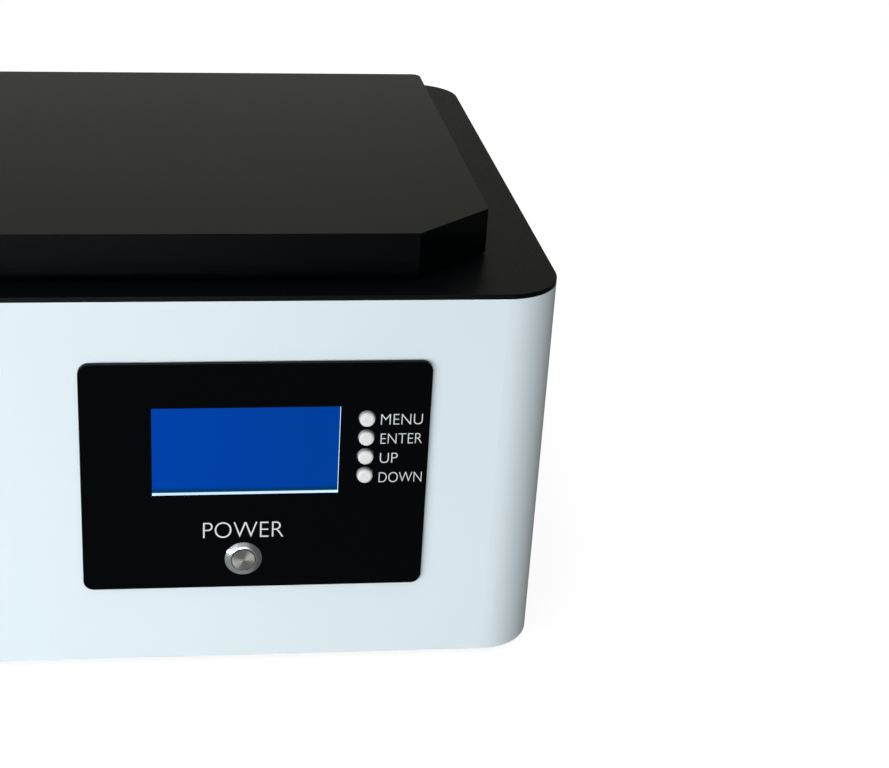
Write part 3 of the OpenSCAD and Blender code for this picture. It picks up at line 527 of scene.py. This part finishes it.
def window_edge(materials):
    """Lining of the display window: its front part has a painted glow for the display's light on the cut
    edge, and its rear part a painted dim blue glow for the shade behind it.
    """
    glass_low, glass_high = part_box("display_glass")
    panel_low, panel_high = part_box("control_panel")
    side = 1.0 * MM
    rise = 1.3 * MM
    wall = 0.12 * MM
    front = panel_low.y + 0.05 * MM
    middle = front + 2.0 * MM
    back = glass_low.y - 0.03 * MM
    outer = (glass_low.x + side, glass_low.z + rise, glass_high.x - side, glass_high.z - rise)
    inner = (outer[0] + wall, outer[1] + wall, outer[2] - wall, outer[3] - wall)
    built = bmesh.new()
    loops = []
    for y, ring in ((front, outer), (front, inner), (middle, inner), (back, inner), (back, outer)):
        x0, z0, x1, z1 = ring
        loops.append([built.verts.new((x, y, z)) for x, z in ((x0, z0), (x1, z0), (x1, z1), (x0, z1))])
    # slot 1 holds the painted glow of the cut edge, slot 2 the painted dim blue glow for the shade behind
    # it
    black, painted_glow_slot, painted_dim_slot = 0, 1, 2
    for i, slot in enumerate((black, painted_glow_slot, painted_dim_slot, black, black)):
        here, there = loops[i], loops[(i + 1) % len(loops)]
        for k in range(4):
            face = built.faces.new((here[k], here[(k + 1) % 4], there[(k + 1) % 4], there[k]))
            face.material_index = slot
    bmesh.ops.recalc_face_normals(built, faces=built.faces)
    mesh = bpy.data.meshes.new("window_edge")
    built.to_mesh(mesh)
    built.free()
    piece = new_piece("window_edge", mesh, materials["gloss_black"], "machine")
    # materials for the painted glow and the painted dim glow, in slot order
    mesh.materials.append(painted_edge_glow())
    mesh.materials.append(painted_dim_glow())
    return piece


def painted_groove_shadow(materials):
    """Black ring in the groove round the power button's cap: a painted shadow, a dark piece put where the
    groove is only in shade.
    """
    cap_low, cap_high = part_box("power_button")
    centre = middle("power_button")
    rim_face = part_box("power_button_housing")[0].y
    inner_r = (cap_high.x - cap_low.x) / 2 + 0.05 * MM
    outer_r = inner_r + 0.30 * MM
    front = rim_face + 0.25 * MM
    back = rim_face + 1.0 * MM
    around = 64
    turns = [2 * math.pi * k / around for k in range(around)]
    built = bmesh.new()
    loops = []
    for radius, y in ((inner_r, back), (inner_r, front), (outer_r, front), (outer_r, back)):
        loops.append([built.verts.new((
            centre.x + radius * math.cos(turn), y, centre.z + radius * math.sin(turn))) for turn in turns])
    for i, here in enumerate(loops):
        there = loops[(i + 1) % len(loops)]
        for k in range(around):
            n = (k + 1) % around
            built.faces.new((here[k], here[n], there[n], there[k]))
    bmesh.ops.recalc_face_normals(built, faces=built.faces)
    mesh = bpy.data.meshes.new("painted_groove_shadow")
    built.to_mesh(mesh)
    built.free()
    return new_piece("painted_groove_shadow", mesh, materials["rubber"], "machine")


STROKE_THINNING = -0.016
LABELS = (
    # word, left end and right end from the middle of the body, base line above its bottom, cap height
    ("POWER", 24.7, 56.1, 56.2, 7.0),
    ("MENU", 92.4, 108.5, 104.7, 4.5),
    ("ENTER", 92.6, 108.7, 96.5, 4.4),
    ("UP", 92.7, 99.6, 88.2, 4.3),
    ("DOWN", 92.6, 109.4, 79.7, 4.4),
)


def label(word, left, right, base, cap, material):
    """A flat printed word on the control panel, scaled to its own width and cap height."""
    text = bpy.data.curves.new(word, "FONT")
    text.body = word
    text.size = 1.0
    text.extrude = 0.0
    text.offset = STROKE_THINNING
    holder = bpy.data.objects.new(word, text)
    scene.collection.objects.link(holder)
    bpy.context.view_layer.update()
    graph = bpy.context.evaluated_depsgraph_get()
    mesh = bpy.data.meshes.new_from_object(holder.evaluated_get(graph))
    bpy.data.objects.remove(holder)
    xs = [v.co.x for v in mesh.vertices]
    ys = [v.co.y for v in mesh.vertices]
    letters = (min(xs), max(xs), max(0.0, min(ys)), max(ys))
    width = (right - left) * MM
    height = cap * MM
    ink_lift = 0.03 * MM
    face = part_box("control_panel")[0].y - ink_lift
    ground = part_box("body_shell")[0].z
    for v in mesh.vertices:
        x = left * MM + (v.co.x - letters[0]) / (letters[1] - letters[0]) * width
        z = ground + base * MM + (v.co.y - letters[2]) / (letters[3] - letters[2]) * height
        v.co = (x, face, z)
    mesh.update()
    return new_piece("label_" + word.lower(), mesh, material, "machine")


def add_labels():
    ink = label_ink()
    for row in LABELS:
        label(*row, ink)


def threaded_screw(materials):
    """The lead screw with its thread: a helical ridge swept round the rod."""
    low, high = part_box("lead_screw")
    centre = middle("lead_screw")
    thread_depth = 0.7 * MM
    top_r = (high.x - low.x) / 2
    root_r = top_r - thread_depth
    pitch = 2.0 * MM
    around = 28
    levels = 8
    groove_width = 0.30
    flank_width = 0.40
    rows = int((high.z - low.z) / pitch * levels)
    built = bmesh.new()
    rings = []
    for i in range(rows + 1):
        z = low.z + (high.z - low.z) * i / rows
        ring = []
        for k in range(around):
            turn = k / around
            phase = (z - low.z) / pitch - turn
            wave = abs((phase % 1.0) - 0.5) * 2
            ridge = min(1.0, max(0.0, (wave - groove_width) / flank_width))
            r = root_r + (top_r - root_r) * ridge
            ring.append(built.verts.new((
                centre.x + r * math.cos(2 * math.pi * turn),
                centre.y + r * math.sin(2 * math.pi * turn), z)))
        rings.append(ring)
    for a, b in zip(rings, rings[1:]):
        for k in range(around):
            n = (k + 1) % around
            built.faces.new((a[k], a[n], b[n], b[k]))
    built.faces.new(list(reversed(rings[0])))
    built.faces.new(rings[-1])
    mesh = bpy.data.meshes.new("threaded_screw")
    built.to_mesh(mesh)
    built.free()
    smooth_shade(mesh)
    piece = new_piece("threaded_screw", mesh, materials["ground_steel"], "lead_screw")
    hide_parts("lead_screw")


scene.view_settings.view_transform = "Standard"
make_camera()
make_world()
make_stage()
area_light("key", (-1.0, -1.3, 1.2), (0, 0, 0.08), 1.2, 1.0, 2)
area_light("top", (-0.1, -0.1, 1.6), (0, 0, 0.1), 1.4, 1.4, 8)
area_light("front", (-0.1, -1.8, 0.3), (0, 0, 0.08), 1.4, 0.6, 3.4)
area_light("low", (-0.32, -0.8, 0.03), (0.05, -0.14, -0.04), 1.0, 0.06, 4.9, (1.0, 1.0, 0.99))
materials = make_materials()
dress_nodes(materials)
window_edge(materials)
# dark ring standing for the painted shadow in the power button's groove
painted_groove_shadow(materials)
add_labels()
threaded_screw(materials)
